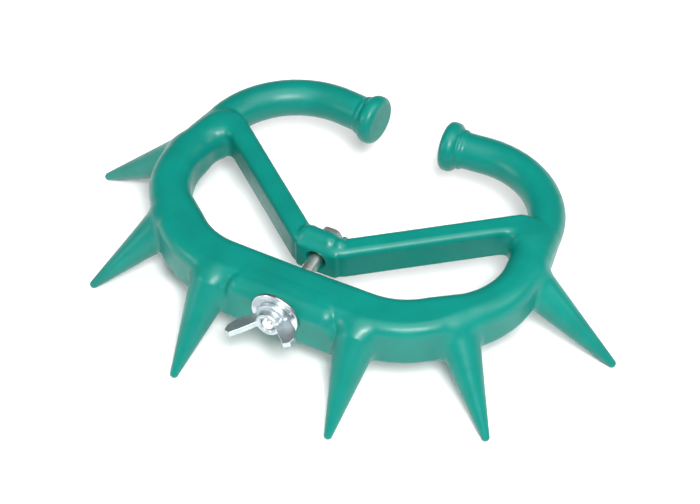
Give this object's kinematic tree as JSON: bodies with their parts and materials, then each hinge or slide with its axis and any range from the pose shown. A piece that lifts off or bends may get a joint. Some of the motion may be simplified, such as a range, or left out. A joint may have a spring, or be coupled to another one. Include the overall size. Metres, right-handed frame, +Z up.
{
  "type": "plastic weaning nose ring",
  "caption": "Spiked plastic nose ring for weaning cattle: a bow with round arms that end in nose knobs, drawn closed through struts and a yoke by a bolt and wing nut.",
  "frame": {"origin": "centre of the footprint, on the surface that the spike tips stand on", "axes": "+X to the ring's right, across both arms; +Y from the wing nut towards the nose knobs; +Z up, square to the plane of the ring"},
  "size_m": [0.2372, 0.153, 0.0424],
  "materials": {
    "green_plastic": "teal green moulded polyethylene, semi-gloss",
    "bolt_steel": "bright zinc plated steel",
    "washer_steel": "bright zinc plated steel",
    "nut_zinc": "bright zinc plated steel, smooth forged faces"
  },
  "bodies": {
    "bow": {"bow": "green_plastic", "bolt_pad": "green_plastic", "spike_front_left": "green_plastic", "spike_front_right": "green_plastic", "washer": "washer_steel"},
    "wing_nut": {"wing_nut": "nut_zinc"},
    "bolt": {"bolt": "bolt_steel"},
    "side_right": {"ring_side_right": "green_plastic", "root_right": "green_plastic", "arm_right": "green_plastic", "nose_knob_right": "green_plastic", "strut_web_right": "green_plastic", "spike_middle_right": "green_plastic", "spike_rear_right": "green_plastic"},
    "strut_right": {"strut_right": "green_plastic"},
    "yoke_right": {"yoke_right": "green_plastic"},
    "side_left": {"ring_side_left": "green_plastic", "root_left": "green_plastic", "arm_left": "green_plastic", "nose_knob_left": "green_plastic", "strut_web_left": "green_plastic", "spike_middle_left": "green_plastic", "spike_rear_left": "green_plastic"},
    "strut_left": {"strut_left": "green_plastic"},
    "yoke_left": {"yoke_left": "green_plastic"}
  },
  "joints": [
    {"name": "wing_nut_spin", "type": "hinge", "parent": "bow", "child": "wing_nut", "pos_m": [0, -0.0538, 0.0322], "axis": [0, 1, 0], "range_deg": [0, 1800]},
    {"name": "bolt_slide", "type": "slide", "parent": "bow", "child": "bolt", "axis": [0, -1, 0], "range_m": [0, 0.005]},
    {"name": "bow_flex_right", "type": "hinge", "parent": "bow", "child": "side_right", "pos_m": [0.05014, -0.03303, 0.03], "axis": [0, 0, 1], "range_deg": [0, 4.76]},
    {"name": "strut_root_flex_right", "type": "hinge", "parent": "side_right", "child": "strut_right", "pos_m": [0.0595, 0.02635, 0.032], "axis": [0, 0, 1], "range_deg": [0, 2.46]},
    {"name": "yoke_flex_right", "type": "hinge", "parent": "strut_right", "child": "yoke_right", "pos_m": [0.013, -0.01064, 0.032], "axis": [0, 0, 1], "range_deg": [-7.22, 0]},
    {"name": "bow_flex_left", "type": "hinge", "parent": "bow", "child": "side_left", "pos_m": [-0.05014, -0.03303, 0.03], "axis": [0, 0, -1], "range_deg": [0, 4.76]},
    {"name": "strut_root_flex_left", "type": "hinge", "parent": "side_left", "child": "strut_left", "pos_m": [-0.0595, 0.02635, 0.032], "axis": [0, 0, -1], "range_deg": [0, 2.46]},
    {"name": "yoke_flex_left", "type": "hinge", "parent": "strut_left", "child": "yoke_left", "pos_m": [-0.013, -0.01064, 0.032], "axis": [0, 0, -1], "range_deg": [-7.22, 0]}
  ],
  "couplings": [
    {"joint": "bolt_slide", "follows": "wing_nut_spin", "m_per_rad": 0.00015915},
    {"joint": "bow_flex_right", "follows": "wing_nut_spin", "ratio": 0.0026458},
    {"joint": "strut_root_flex_right", "follows": "wing_nut_spin", "ratio": 0.0013651},
    {"joint": "yoke_flex_right", "follows": "wing_nut_spin", "ratio": -0.0040109},
    {"joint": "bow_flex_left", "follows": "wing_nut_spin", "ratio": 0.0026458},
    {"joint": "strut_root_flex_left", "follows": "wing_nut_spin", "ratio": 0.0013651},
    {"joint": "yoke_flex_left", "follows": "wing_nut_spin", "ratio": -0.0040109}
  ]
}
